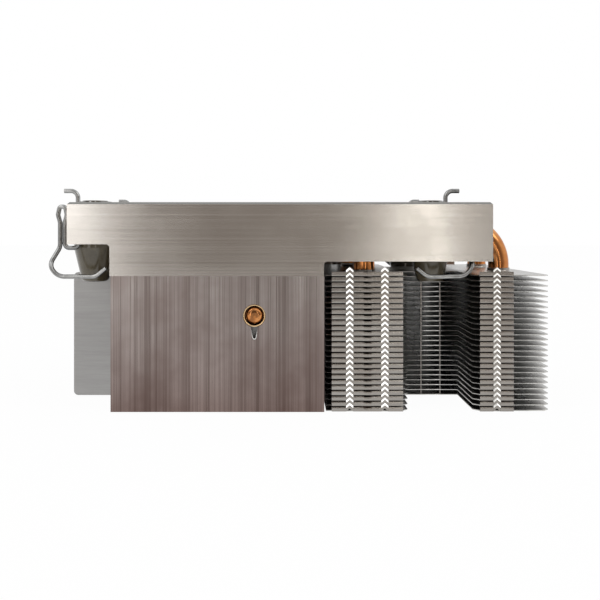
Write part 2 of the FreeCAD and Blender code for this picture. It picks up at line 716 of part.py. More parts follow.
def fin_side():
    """One long edge of a horizontal fin, from left to right, as distances from the centre line."""
    edge = "(%s - Sheet.edge_setback)" % HALF_WIDTH
    fold = "(%s - Sheet.fin_thickness)" % HALF_WIDTH
    corner = "(%s - Sheet.edge_setback - Sheet.fold_inset)" % HALF_WIDTH
    wall = "(%s - Sheet.notch_depth)" % HALF_WIDTH
    near_start = "Sheet.stack_left + Sheet.fold_inset"
    near_end = "Sheet.notch_left - Sheet.fold_inset"
    far_start = "Sheet.notch_right + Sheet.fold_inset"
    return [
        ("Sheet.stack_left", edge),
        (near_start, edge),
        (near_start, fold),
        (near_end, fold),
        (near_end, edge),
        ("Sheet.notch_left", corner),
        ("Sheet.notch_left", wall),
        ("Sheet.notch_right", wall),
        ("Sheet.notch_right", corner),
        (far_start, edge),
        (far_start, fold),
        ("Sheet.far_fold_right", fold),
        ("Sheet.far_fold_right", edge),
        ("Sheet.stack_right - Sheet.fold_inset", edge),
        ("Sheet.stack_right", corner),
    ]


def fold_strip(left, right, locks):
    """A folded edge one pitch high: a notch in its fold line at each interlock, and a tongue above it."""
    top = "%s - Sheet.fold_gap" % FIN_PITCH
    peak = "%s - Sheet.fold_gap + Sheet.lock_height" % FIN_PITCH
    half = "Sheet.lock_width / 2"
    tongue = "(Sheet.lock_width / 2 - Sheet.lock_side_gap)"
    lower, upper = [(left, "0")], [(left, top)]
    for lock in locks:
        lower.append(("%s - %s" % (lock, half), "0"))
        lower.append((lock, "Sheet.lock_height"))
        lower.append(("%s + %s" % (lock, half), "0"))
        upper.append(("%s - %s" % (lock, tongue), top))
        upper.append((lock, peak))
        upper.append(("%s + %s" % (lock, tongue), top))
    lower.append((right, "0"))
    upper.append((right, top))
    return lower + upper[::-1]


def make_horizontal_fins():
    """The folded fins on the pipes. The lowest is drawn, and the others are clones of it, one pitch apart."""
    bottom = "%s - Sheet.sink_height" % BLOCK_TOP
    fin = new_body("horizontal_fin_01", z=bottom)
    outline = new_sketch(fin, "fin_outline", "XY_Plane")
    side = fin_side()
    front = [(x, "-" + y) for x, y in side]
    add_outline(outline, front + side[::-1])
    add_pad(fin, outline, "fin_sheet", "Sheet.fin_thickness")

    holes = new_sketch(fin, "fin_hole_circles", "XY_Plane")
    for _, _, leg, across in base_pipes():
        add_circle(holes, leg, across, "Sheet.pipe_radius + Sheet.solder_gap")
    add_pocket(fin, holes, "fin_holes", "Sheet.fin_thickness", reverse=True)

    folds = new_sketch(fin, "fold_outlines", "XZ_Plane", "%s - Sheet.fin_thickness" % HALF_WIDTH)
    near_start = "Sheet.stack_left + Sheet.fold_inset"
    near_end = "Sheet.notch_left - Sheet.fold_inset"
    far_start = "Sheet.notch_right + Sheet.fold_inset"
    add_outline(folds, fold_strip(near_start, near_end, ["Sheet.near_lock_one", "Sheet.near_lock_two"]))
    add_outline(folds, fold_strip(far_start, "Sheet.far_fold_right", ["Sheet.far_lock"]))
    long_folds = add_pad(fin, folds, "long_folds", "Sheet.fin_thickness")

    wall_depth = "%s - Sheet.notch_depth - Sheet.fin_thickness" % HALF_WIDTH
    wall = new_sketch(fin, "wall_fold_outline", "XZ_Plane", wall_depth)
    add_outline(
        wall,
        rectangle("Sheet.wall_fold_left", "0", "Sheet.wall_fold_right", "%s - Sheet.fold_gap" % FIN_PITCH),
    )
    wall_fold = add_pad(fin, wall, "wall_fold", "Sheet.fin_thickness")

    mirror = fin.newObject("PartDesign::Mirrored", "back_folds")
    mirror.Originals = [long_folds, wall_fold]
    mirror.MirrorPlane = (origin_feature(fin, "XZ_Plane"), [""])
    fin.Tip = mirror

    for number in range(1, int(size("fin_count"))):
        name = "horizontal_fin_%02d" % (number + 1)
        clone = new_body(name, z="%s + %d * %s" % (bottom, number, FIN_PITCH))
        base = clone.newObject("PartDesign::FeatureBase", name + "_clone")
        base.BaseFeature = fin
        clone.Tip = base


# ---------------------------------------------------------------- captive nuts


def make_nut(corner, side_x, side_y):
    """A moulded cone with a collar through the block, a through bore and a six-lobe socket in its end."""
    nut = new_body(
        "nut_" + corner, "%d * Sheet.nut_span_x / 2" % side_x, "%d * Sheet.nut_span_y / 2" % side_y
    )
    rim = "-Sheet.flange_thickness - Sheet.nut_end_gap"
    end = "-Sheet.flange_thickness - Sheet.nut_length"
    profile = new_sketch(nut, "nut_%s_profile" % corner, "XZ_Plane")
    add_outline(
        profile,
        [
            ("Sheet.nut_bore_radius", "Sheet.nut_collar_rise"),
            ("Sheet.nut_collar_radius", "Sheet.nut_collar_rise"),
            ("Sheet.nut_collar_radius", "Sheet.nut_end_gap + Sheet.ring_thickness"),
            ("Sheet.ring_groove_radius", "Sheet.nut_end_gap + Sheet.ring_thickness"),
            ("Sheet.ring_groove_radius", "Sheet.nut_end_gap"),
            ("Sheet.nut_collar_radius", "Sheet.nut_end_gap"),
            ("Sheet.nut_collar_radius", rim),
            ("Sheet.nut_skirt_radius", rim),
            ("Sheet.nut_skirt_radius", rim + " - Sheet.nut_skirt_height"),
            ("Sheet.nut_tip_radius", end),
            ("Sheet.nut_bore_radius", end),
        ],
    )
    cone = nut.newObject("PartDesign::Revolution", "nut_%s_cone" % corner)
    cone.Profile = profile
    cone.ReferenceAxis = (origin_feature(nut, "Z_Axis"), [""])
    cone.Angle = 360
    lowest, tip = value(end), size("nut_tip_radius")
    dress(
        nut,
        "Fillet",
        "nut_%s_round" % corner,
        cone,
        lambda box: near(box.ZMin, lowest) and near(box.ZMax, lowest) and near(box.XMax, tip),
        "Radius",
        "Sheet.nut_tip_round",
    )
    socket = new_sketch(nut, "nut_%s_socket_outline" % corner, "XY_Plane", end)
    points = []
    for step in range(12):
        reach = "Sheet.socket_waist" if step % 2 else "Sheet.socket_radius"
        angle = 30 * step
        points.append(("%s * cos(%d deg)" % (reach, angle), "%s * sin(%d deg)" % (reach, angle)))
    add_outline(socket, points)
    add_pocket(nut, socket, "nut_%s_socket" % corner, "Sheet.socket_depth", reverse=True)


def make_ring(corner, side_x, side_y):
    """The open retaining ring in the groove of a nut's collar."""
    ring = new_body(
        "retaining_ring_" + corner, "%d * Sheet.nut_span_x / 2" % side_x, "%d * Sheet.nut_span_y / 2" % side_y
    )
    circles = new_sketch(ring, "ring_%s_circles" % corner, "XY_Plane", "Sheet.nut_end_gap")
    add_circle(circles, "0", "0", "Sheet.ring_radius")
    add_circle(circles, "0", "0", "Sheet.ring_groove_radius")
    add_pad(ring, circles, "ring_%s_disc" % corner, "Sheet.ring_thickness")
    mouth = new_sketch(ring, "ring_%s_mouth_outline" % corner, "XY_Plane", "Sheet.nut_end_gap")
    half = "Sheet.ring_mouth / 2"
    add_outline(mouth, rectangle("-" + half, "0", half, "2 * Sheet.ring_radius"))
    add_pocket(ring, mouth, "ring_%s_mouth" % corner, "Sheet.ring_thickness", reverse=True)


# ---------------------------------------------------------------- rotating wires


def rounded_path(points, bends):
    """Straight runs through the points, with a tangent arc of its own radius at each corner."""
    edges = []
    run_start = points[0]
    for corner, before, after, radius in zip(points[1:-1], points[:-2], points[2:], bends):
        inward = (before - corner).normalize()
        outward = (after - corner).normalize()
        half_angle = inward.getAngle(outward) / 2
        middle = (inward + outward).normalize()
        tangent = radius / math.tan(half_angle)
        centre = corner + middle * (radius / math.sin(half_angle))
        arc_start = corner + inward * tangent
        arc_end = corner + outward * tangent
        edges.append(Part.LineSegment(run_start, arc_start).toShape())
        edges.append(Part.Arc(arc_start, centre - middle * radius, arc_end).toShape())
        run_start = arc_end
    edges.append(Part.LineSegment(run_start, points[-1]).toShape())
    return Part.Wire(edges)


def wire_route():
    """The wire from its hook to its upturned tip, as (outwards, towards the long edge, up) from the leg."""
    usual, tight = size("wire_bend"), size("eye_bend")
    hook = size("hook_rise") - size("wire_radius")
    under = -value("Sheet.flange_thickness + Sheet.wire_under_gap + Sheet.leg_bend")
    inner, outer = size("hairpin_inner"), size("hairpin_outer")
    top = -value("Sheet.hairpin_top + Sheet.wire_radius")
    eye = top - size("eye_drop")
    neck = eye - size("eye_drop")
    flare = size("eye_flare")
    side, bar = size("handle_side"), -size("handle_depth")
    route = [
        ((size("hook_reach"), 0, hook), None),
        ((0, 0, hook), usual),
        ((0, 0, under), size("leg_bend")),
        ((inner, 0, under), size("leg_bend")),
        ((inner, 0, neck), tight),
        ((inner - flare, 0, eye), tight),
        ((inner, 0, top), tight),
        ((outer, 0, top), tight),
        ((outer + flare, 0, eye), tight),
        ((outer, 0, neck), tight),
        ((outer, 0, under), usual),
        ((size("elbow_reach"), size("elbow_side"), -size("elbow_depth")), usual),
        ((size("handle_start"), side, bar), usual),
        ((-size("handle_reach"), side, bar), usual),
        ((-size("curl_reach"), side, -size("curl_depth")), None),
    ]
    return route


def make_wire(corner, side_x, side_y):
    """One bent spring wire, with its upright leg on the local z axis, mirrored into its corner."""
    route = wire_route()
    points = [FreeCAD.Vector(side_x * out, side_y * side, up) for (out, side, up), _ in route]
    bends = [bend for _, bend in route[1:-1]]
    path = rounded_path(points, bends)
    start = path.Edges[0]
    ring = Part.Circle(start.valueAt(start.FirstParameter), points[1] - points[0], size("wire_radius"))
    wire = doc.addObject("Part::Feature", "wire_" + corner)
    wire.Label = "wire_" + corner
    wire.Shape = path.makePipe(Part.Face(Part.Wire([ring.toShape()])))
    wire.setExpression("Placement.Base.x", "%d * Sheet.wire_pivot_x" % side_x)
    wire.setExpression("Placement.Base.y", "%d * Sheet.wire_pivot_y" % side_y)
    wire.setExpression("Placement.Base.z", BLOCK_TOP)
    nodes.append(wire)


# ---------------------------------------------------------------- build, test and write


def check_document():
    """Stops if any object failed, or if a sub-part has no sound solid."""
    for item in doc.Objects:
        if "Invalid" in item.State or "Error" in item.State:
            raise RuntimeError("%s failed: %s" % (item.Name, item.State))
    for item in nodes:
        if item.Shape.isNull() or not item.Shape.isValid() or not item.Shape.Solids:
            raise RuntimeError("%s has no valid solid" % item.Label)


make_base_block()
make_contact_plate()
for pipe_name, pipe_start, pipe_leg, pipe_across in base_pipes():
    make_base_pipe(pipe_name, pipe_start, pipe_leg, pipe_across)
make_side_pipe()
make_vertical_fins()
make_side_plates()
make_horizontal_fins()
for place_name, sign_x, sign_y in CORNERS:
    make_nut(place_name, sign_x, sign_y)
    make_ring(place_name, sign_x, sign_y)
    make_wire(place_name, sign_x, sign_y)
doc.recompute()
check_document()
os.makedirs("parts", exist_ok=True)
for item in nodes:
    item.Shape.exportStep("parts/%s.step" % item.Label)
    print(item.Label, len(item.Shape.Solids), round(item.Shape.Volume, 1))
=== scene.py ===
import json
import math

import bmesh
import bpy
from mathutils import Matrix, Vector


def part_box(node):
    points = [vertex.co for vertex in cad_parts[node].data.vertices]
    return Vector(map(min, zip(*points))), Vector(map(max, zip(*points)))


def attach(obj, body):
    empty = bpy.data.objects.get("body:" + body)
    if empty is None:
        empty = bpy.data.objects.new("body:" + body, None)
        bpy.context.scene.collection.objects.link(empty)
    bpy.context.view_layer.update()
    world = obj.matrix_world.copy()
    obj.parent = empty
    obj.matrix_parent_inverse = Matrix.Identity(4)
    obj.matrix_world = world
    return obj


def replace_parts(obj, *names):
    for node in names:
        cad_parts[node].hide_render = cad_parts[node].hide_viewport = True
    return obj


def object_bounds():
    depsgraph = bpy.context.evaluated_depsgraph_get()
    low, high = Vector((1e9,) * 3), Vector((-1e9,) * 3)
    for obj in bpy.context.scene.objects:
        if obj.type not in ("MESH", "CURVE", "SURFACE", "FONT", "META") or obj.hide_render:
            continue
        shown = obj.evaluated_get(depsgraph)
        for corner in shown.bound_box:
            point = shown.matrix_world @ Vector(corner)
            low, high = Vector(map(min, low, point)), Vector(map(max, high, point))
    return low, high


# A passive server heatsink: the finishes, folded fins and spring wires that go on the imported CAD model, and
# the studio round it. Places and sizes are in metres, in the CAD model's frame.

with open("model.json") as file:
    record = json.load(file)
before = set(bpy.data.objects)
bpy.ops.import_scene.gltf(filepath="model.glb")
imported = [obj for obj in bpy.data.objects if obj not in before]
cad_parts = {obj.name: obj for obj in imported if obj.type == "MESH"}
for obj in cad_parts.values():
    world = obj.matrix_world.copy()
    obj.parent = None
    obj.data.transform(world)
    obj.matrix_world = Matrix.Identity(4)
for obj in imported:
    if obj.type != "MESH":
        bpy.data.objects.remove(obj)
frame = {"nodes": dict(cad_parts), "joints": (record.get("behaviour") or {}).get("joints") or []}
cad_low, cad_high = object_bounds()

MM = 0.001
WHITE = (1.0, 1.0, 1.0)
PIPE_RADIUS = 3.0 * MM
nodes = frame["nodes"]
block_low, block_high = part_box("base_block")
FRONT_Y = block_low.y


# ---------------------------------------------------------------- node trees


class Graph:
    """The node tree of a material or a world, cleared, with short calls for the nodes it needs."""

    def __init__(self, owner):
        owner.use_nodes = True
        self.tree = owner.node_tree
        self.tree.nodes.clear()

    def add(self, kind):
        return self.tree.nodes.new(kind)

    def link(self, source, target):
        self.tree.links.new(source, target)

    def put(self, source, target):
        """Links a socket, or writes a plain number or colour."""
        if isinstance(source, bpy.types.NodeSocket):
            self.link(source, target)
        elif isinstance(source, tuple):
            target.default_value = (*source, 1.0)
        else:
            target.default_value = source

    def part(self, vector, name):
        """One coordinate of a vector."""
        split = self.add("ShaderNodeSeparateXYZ")
        self.link(vector, split.inputs[0])
        return split.outputs[name]

    def maths(self, operation, *values):
        node = self.add("ShaderNodeMath")
        node.operation = operation
        for value, target in zip(values, node.inputs):
            self.put(value, target)
        return node.outputs[0]

    def remap(self, value, low, high, new_low, new_high):
        """A value moved from one range to another and held there."""
        node = self.add("ShaderNodeMapRange")
        for index, number in enumerate((low, high, new_low, new_high), start=1):
            node.inputs[index].default_value = number
        self.link(value, node.inputs[0])
        return node.outputs[0]

    def ramp(self, value, stops, interpolation="LINEAR"):
        """Colours over a value, from two stops of position and colour."""
        node = self.add("ShaderNodeValToRGB")
        node.color_ramp.interpolation = interpolation
        for element, (position, colour) in zip(node.color_ramp.elements, stops):
            element.position = position
            element.color = (*colour, 1.0)
        self.link(value, node.inputs["Fac"])
        return node.outputs["Color"]

    def mix(self, factor, first, second, blend="MIX"):
        """Two colours, either of them a plain tuple, mixed by a factor."""
        node = self.add("ShaderNodeMix")
        node.data_type = "RGBA"
        node.blend_type = blend
        self.put(factor, node.inputs["Factor"])
        self.put(first, node.inputs["A"])
        self.put(second, node.inputs["B"])
        return node.outputs["Result"]

    def rays(self, *kinds):
        """1 for a ray of any of these kinds, and 0 for the others."""
        path = self.add("ShaderNodeLightPath")
        found = path.outputs[kinds[0]]
        for kind in kinds[1:]:
            found = self.maths("MAXIMUM", found, path.outputs[kind])
        return found

    def plain_shader(self, kind, **inputs):
        node = self.add(kind)
        for name, value in inputs.items():
            self.put(value, node.inputs[name])
        return node.outputs[0]

    def mix_shaders(self, factor, first, second):
        node = self.add("ShaderNodeMixShader")
        for source, target in zip((factor, first, second), node.inputs):
            self.link(source, target)
        return node.outputs[0]


class Finish(Graph):
    """A new material round one principled shader."""

    def __init__(self, name):
        self.material = bpy.data.materials.new(name)
        super().__init__(self.material)
        self.shader = self.add("ShaderNodeBsdfPrincipled")
        self.link(self.shader.outputs[0], self.add("ShaderNodeOutputMaterial").inputs["Surface"])
        self.place = self.add("ShaderNodeTexCoord").outputs["Object"]

    def noise(self, stretch, detail, rough=0.55, offset=(0.0, 0.0, 0.0)):
        """Noise over the object's own coordinates, its scale given per metre along each axis."""
        mapping = self.add("ShaderNodeMapping")
        mapping.inputs["Scale"].default_value = stretch
        mapping.inputs["Location"].default_value = offset
        self.link(self.place, mapping.inputs["Vector"])
        texture = self.add("ShaderNodeTexNoise")
        texture.inputs["Scale"].default_value = 1.0
        texture.inputs["Detail"].default_value = detail
        texture.inputs["Roughness"].default_value = rough
        self.link(mapping.outputs[0], texture.inputs["Vector"])
        return texture.outputs["Fac"]

    def recolour(self, factor, colour, blend="MIX"):
        """Mixes a colour into the one that the surface has already."""
        target = self.shader.inputs["Base Color"]
        self.link(self.mix(factor, target.links[0].from_socket, colour, blend), target)

    def bump(self, height, strength, distance):
        """Raises the surface by a height value."""
        node = self.add("ShaderNodeBump")
        node.inputs["Strength"].default_value = strength
        node.inputs["Distance"].default_value = distance
        self.link(height, node.inputs["Height"])
        self.link(node.outputs[0], self.shader.inputs["Normal"])


# ---------------------------------------------------------------- finishes


# brushed grain and stains; a band is the part of the noise's range that a value is spread over
FINE_SHARE = 0.65  # how much of the streaks is the fine grain, and not the broader one
BROAD_GRAIN = 0.21  # the broader grain's scale, as a share of the fine one's
BROAD_OFFSET = (3.0, 1.0, 2.0)
GRAIN_ROUGH_BAND = (0.3, 0.7)
GRAIN_LIFT = 0.02 * MM
GRAIN_BUMP = 0.2
STAIN_SCALE = 70.0
STAIN_OFFSET = (5.0, 0.0, 1.0)
STAIN_BAND = (0.38, 0.66)
STAIN_DEPTH = 0.55
STAIN_ROUGH_BAND = (0.35, 0.7)
STAIN_ROUGHNESS = 0.05

BEVEL_PAINTED_SHADE = (0.25, 0.25, 0.24)
BEVEL_FOOT = (0.62 * MM, 0.50 * MM)  # below the block's top face, where the bevel's painted shade fades in
BEVEL_HEAD = (0.05 * MM, 0.01 * MM)  # and where it fades out again
PAINTED_SHADE_BROWN = (0.50, 0.41, 0.39)
DULL_COPPER = (0.20, 0.085, 0.035)
DULL_REACH = 2.4 * MM  # how far in from the block's front face the pipe's soldered end is dull
DULL_FADE = 0.8 * MM
BLOTCH_SCALE = 850.0
BLOTCH_BAND = (0.42, 0.58)
BLOTCH_DEPTH = 0.75


def brushed_metal(name, dark, light, grain, rough, contrast, tint=None, metallic=1.0, lift=GRAIN_LIFT):
    """A surface with fine parallel grain, long along one axis and very short across it, and soft stains."""
    graph = Finish(name)
    fine = graph.noise(grain, detail=5.0, rough=0.75)
    broad = graph.noise(tuple(number * BROAD_GRAIN for number in grain), detail=3.0, offset=BROAD_OFFSET)
    streaks = graph.maths("MULTIPLY_ADD", fine, FINE_SHARE, graph.maths("MULTIPLY", broad, 1 - FINE_SHARE))
    reach = 0.25 / (1 + 2 * contrast)
    colour = graph.ramp(streaks, [(0.5 - reach, dark), (0.5 + reach, light)])
    stain = graph.noise((STAIN_SCALE,) * 3, detail=3.0, offset=STAIN_OFFSET)
    if tint is not None:
        colour = graph.mix(graph.remap(stain, *STAIN_BAND, 0.0, STAIN_DEPTH), colour, tint)
    graph.link(colour, graph.shader.inputs["Base Color"])
    grain_roughness = graph.remap(fine, *GRAIN_ROUGH_BAND, *rough)
    stain_roughness = graph.remap(stain, *STAIN_ROUGH_BAND, 0.0, STAIN_ROUGHNESS)
    graph.link(graph.maths("ADD", grain_roughness, stain_roughness), graph.shader.inputs["Roughness"])
    graph.shader.inputs["Metallic"].default_value = metallic
    graph.bump(streaks, GRAIN_BUMP, lift)
    return graph


def block_material():
    """Machined aluminium brushed along X, with painted shade that darkens the bevel round its top rim."""
    graph = brushed_metal(
        "brushed_block", dark=(0.55, 0.525, 0.49), light=(0.69, 0.665, 0.63), tint=(0.56, 0.53, 0.49),
        grain=(5.0, 3400.0, 3400.0), rough=(0.15, 0.20), contrast=0.2,
    )
    height = graph.part(graph.place, "Z")
    above_foot = graph.remap(height, *(block_high.z - drop for drop in BEVEL_FOOT), 0.0, 1.0)
    below_head = graph.remap(height, *(block_high.z - drop for drop in BEVEL_HEAD), 1.0, 0.0)
    # painted shade: the bevel round the top rim is mixed towards a darker grey
    graph.recolour(graph.maths("MULTIPLY", above_foot, below_head), BEVEL_PAINTED_SHADE)
    return graph.material


def plate_material():
    """Brushed aluminium plate, darker and browner towards its lower edge: painted shade."""
    graph = brushed_metal(
        "brushed_plate", dark=(0.215, 0.18, 0.166), light=(0.50, 0.455, 0.435), tint=(0.23, 0.175, 0.16),
        grain=(3000.0, 3000.0, 9.0), rough=(0.24, 0.34), contrast=0.7,
    )
    low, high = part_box("front_side_plate")
    # painted shade: the colour is multiplied by a brown that grows towards the lower edge
    graph.recolour(graph.remap(graph.part(graph.place, "Z"), low.z, high.z, 1.0, 0.0), PAINTED_SHADE_BROWN, "MULTIPLY")
    return graph.material


def nut_material():
    """Moulded plastic, olive brown, with the thin gloss of a polished mould."""
    graph = brushed_metal(
        "nut_plastic", dark=(0.050, 0.040, 0.022), light=(0.105, 0.088, 0.053), tint=(0.070, 0.053, 0.031),
        grain=(420.0, 420.0, 420.0), rough=(0.14, 0.24), contrast=0.2, metallic=0.0,
    )
    graph.shader.inputs["Coat Weight"].default_value = 0.5
    graph.shader.inputs["Coat Roughness"].default_value = 0.16
    return graph.material


def copper_material():
    """Drawn copper pipe, dull and blotched where its crimped end is soldered into the keyhole."""
    graph = brushed_metal(
        "copper_pipe", dark=(0.44, 0.14, 0.035), light=(0.76, 0.36, 0.13), tint=(0.42, 0.15, 0.05),
        grain=(160.0, 160.0, 160.0), rough=(0.07, 0.15), contrast=0.4,
    )
    dull_y = FRONT_Y + DULL_REACH
    end = graph.remap(graph.part(graph.place, "Y"), dull_y, dull_y + DULL_FADE, 1.0, 0.0)
    blotch = graph.remap(graph.noise((BLOTCH_SCALE,) * 3, detail=2.0), *BLOTCH_BAND, 0.0, BLOTCH_DEPTH)
    graph.recolour(graph.maths("MULTIPLY", end, blotch), DULL_COPPER)
    return graph.material


def make_materials():
    """One material for each finish of the object."""
    return {
        "base_block": block_material(),
        "side_plate": plate_material(),
        "fin": brushed_metal(
            "fin_sheet", dark=(0.28, 0.262, 0.24), light=(0.39, 0.37, 0.345), tint=(0.27, 0.235, 0.205),
            grain=(80.0, 80.0, 500.0), rough=(0.15, 0.25), contrast=0.3,
        ).material,
        # bare sheared and coined edges, made far brighter than the sheet as a painted highlight
        "fin_edge": brushed_metal(
            "coined_edge", dark=(0.56, 0.55, 0.52), light=(0.80, 0.79, 0.77), tint=(0.50, 0.48, 0.44),
            grain=(600.0, 600.0, 900.0), rough=(0.14, 0.24), contrast=0.3,
        ).material,
        "fin_flat": brushed_metal(
            "fin_flat_sheet", dark=(0.30, 0.295, 0.285), light=(0.43, 0.42, 0.405), tint=(0.26, 0.245, 0.225),
            grain=(300.0, 60.0, 300.0), rough=(0.22, 0.32), contrast=0.3,
        ).material,
        "long_fin": brushed_metal(
            "long_fin_sheet", dark=(0.30, 0.295, 0.29), light=(0.40, 0.395, 0.39),
            grain=(60.0, 2000.0, 900.0), rough=(0.34, 0.46), contrast=0.2,
        ).material,
        "copper": copper_material(),
        # solder, made bright golden as a painted highlight of the rim round the pipe's end
        "solder": brushed_metal(
            "solder_bead", dark=(0.66, 0.46, 0.24), light=(0.90, 0.72, 0.46), tint=(0.60, 0.36, 0.16),
            grain=(700.0, 700.0, 700.0), rough=(0.14, 0.26), contrast=0.4,
        ).material,
        # near-white: a painted highlight along the keyhole slot's rim
        "burnished": brushed_metal(
            "burnished_edge", dark=(0.72, 0.71, 0.69), light=(0.92, 0.91, 0.89),
            grain=(900.0, 900.0, 900.0), rough=(0.10, 0.20), contrast=0.3,
        ).material,
        "contact": brushed_metal(
            "contact_copper", dark=(0.62, 0.28, 0.15), light=(0.82, 0.44, 0.27), tint=(0.55, 0.25, 0.14),
            grain=(1800.0, 14.0, 14.0), rough=(0.14, 0.24), contrast=0.3,
        ).material,
        "nut": nut_material(),
        "wire": brushed_metal(
            "spring_steel", dark=(0.13, 0.13, 0.13), light=(0.42, 0.42, 0.41),
            grain=(300.0, 300.0, 300.0), rough=(0.05, 0.10), contrast=0.3, lift=0.004 * MM,
        ).material,
    }


# what a CAD node's name has in it, and its finish; the retaining rings and plain wires are spring steel
FINISH_BY_NAME = {
    "base_block": "base_block",
    "contact_plate": "contact",
    "side_plate": "side_plate",
    "heat_pipe": "copper",
    "vertical_fins": "long_fin",
    "horizontal_fin": "fin",
    "nut_": "nut",
}


def dress_nodes(materials):
    """Gives every CAD node its finish."""
    for name, obj in nodes.items():
        finish = next((finish for part, finish in FINISH_BY_NAME.items() if part in name), "wire")
        if not obj.material_slots:
            obj.data.materials.append(materials[finish])
        for slot in obj.material_slots:
            slot.material = materials[finish]


# ---------------------------------------------------------------- curves and rings


def circle(x, y, radius, steps):
    """Points evenly round a centre."""
    turns = [2 * math.pi * step / steps for step in range(steps)]
    return [(x + radius * math.cos(turn), y + radius * math.sin(turn)) for turn in turns]


def add_line(curve, points, cyclic):
    """A line of points as one spline of a curve."""
    spline = curve.splines.new("POLY")
    spline.points.add(len(points) - 1)
    for point, place in zip(spline.points, points):
        point.co = (*place, 1.0)
    spline.use_cyclic_u = cyclic


def mesh_of(curve):
    """The mesh that a curve makes."""
    holder = bpy.data.objects.new(curve.name, curve)
    bpy.context.collection.objects.link(holder)
    bpy.context.view_layer.update()
    mesh = bpy.data.meshes.new_from_object(holder.evaluated_get(bpy.context.evaluated_depsgraph_get()))
    bpy.data.objects.remove(holder)
    return mesh


def bridge(bm, first, second):
    """Faces between two closed rings that have as many points each."""
    corners = zip(first, first[1:] + first[:1], second[1:] + second[:1], second)
    return [bm.faces.new(points) for points in corners]


# ---------------------------------------------------------------- horizontal fins


FIN_NAMES = sorted(name for name in nodes if name.startswith("horizontal_fin_"))
FIN_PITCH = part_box(FIN_NAMES[1])[0].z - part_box(FIN_NAMES[0])[0].z
UPRIGHT_PIPES = [f"{reach}_heat_pipe_{side}" for reach in ("long", "short") for side in ("front", "back")]
SHEET = 0.3 * MM
SHEAR_ROUND = 0.05 * MM
PIPE_HOLE = PIPE_RADIUS + 0.06 * MM
HOLE_STEPS = 28

# the folded edges, which stand behind the ridges of the interlocks
BEND = 0.34 * MM
FOLD_SETBACK = 0.28 * MM
FOLD_TOP = FIN_PITCH - 0.24 * MM
FOLD_LEAN = 0.05 * MM
FOLD_LEAN_DROP = 0.3 * MM

# the interlocks and, between two of them, the relief in the fold's upper edge
LOCK_HALF = 0.95 * MM
LOCK_RISE = 0.8 * MM
LOCK_SEAM = 0.03 * MM
LOCK_SLOPES = (3, 4, 5)  # the sides of the section that are coined and take the brighter edge finish, a painted highlight
RELIEF_HALF = 0.8 * MM
RELIEF_RAMP = 0.35 * MM
RELIEF_DEPTH = 0.26 * MM

# the outline and what is on it, along X and outwards along Y
stack_low, stack_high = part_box(FIN_NAMES[0])
STACK_LEFT, STACK_RIGHT = stack_low.x, stack_high.x
HALF_WIDTH = stack_high.y
EDGE = HALF_WIDTH - 1.3 * MM
CORNER = HALF_WIDTH - 2.8 * MM
TUCK = HALF_WIDTH - FOLD_SETBACK - BEND
INSET = 1.5 * MM
NOTCH_LEFT, NOTCH_RIGHT = 39.5 * MM, 57.1 * MM
WALL = HALF_WIDTH - 22.5 * MM
FAR_FOLD_RIGHT = 67.6 * MM
NEAR_LOCKS = (23.7 * MM, 33.1 * MM)
NEAR_RELIEF = 28.5 * MM
FAR_LOCKS = (63.1 * MM,)

# the spacer tabs on the notch's back wall
WALL_TABS = (46.4 * MM, 52.0 * MM)
TAB_HALF = 0.11 * MM
TAB_DEPTH = 1.4 * MM
TAB_GAP = 0.06 * MM

# the last fin's rear fold closes most of the gap between the stack and the block
STACK_GAP = 2.5 * MM
CLOSING_TOP = STACK_GAP + FIN_PITCH - 0.25 * MM

FOLD_FINISH, EDGE_HIGHLIGHT_FINISH, FLAT_FINISH = 0, 1, 2
FIN_FINISHES = ("fin", "fin_edge", "fin_flat")
FLAT_LEAN = 0.9  # a face is part of the flat if the upward part of its normal is more than this


def pipe_axes():
    """X and Y of the four upright pipe legs, each at the right-hand end of its pipe."""
    axes = []
    for name in UPRIGHT_PIPES:
        low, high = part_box(name)
        axes.append((high.x - PIPE_RADIUS, (low.y + high.y) / 2))
    return axes


def fin_outline():
    """The sheet's outline, from left to right along the front and back again."""
    side = [
        (STACK_LEFT, EDGE),
        (STACK_LEFT + INSET, EDGE),
        (STACK_LEFT + INSET, TUCK),
        (NOTCH_LEFT - INSET, TUCK),
        (NOTCH_LEFT - INSET, EDGE),
        (NOTCH_LEFT, CORNER),
        (NOTCH_LEFT, WALL),
        (NOTCH_RIGHT, WALL),
        (NOTCH_RIGHT, CORNER),
        (NOTCH_RIGHT + INSET, EDGE),
        (NOTCH_RIGHT + INSET, TUCK),
        (FAR_FOLD_RIGHT, TUCK),
        (FAR_FOLD_RIGHT, EDGE),
        (STACK_RIGHT - INSET, EDGE),
        (STACK_RIGHT, CORNER),
    ]
    return [(x, -y) for x, y in side] + [(x, y) for x, y in reversed(side)]


def sheet_mesh():
    """The flat of the fin with its pipe holes and a slight round on every sheared edge."""
    curve = bpy.data.curves.new("fin_flat", "CURVE")
    curve.dimensions = "2D"
    curve.fill_mode = "BOTH"
    curve.bevel_depth = SHEAR_ROUND
    curve.bevel_resolution = 1
    curve.extrude = SHEET / 2 - SHEAR_ROUND
    curve.offset = -SHEAR_ROUND
    for loop in [fin_outline()] + [circle(x, y, PIPE_HOLE, HOLE_STEPS) for x, y in pipe_axes()]:
        add_line(curve, [(x, y, 0.0) for x, y in loop], cyclic=True)
    mesh = mesh_of(curve)
    mesh.transform(Matrix.Translation((0.0, 0.0, SHEET / 2)))
    return mesh


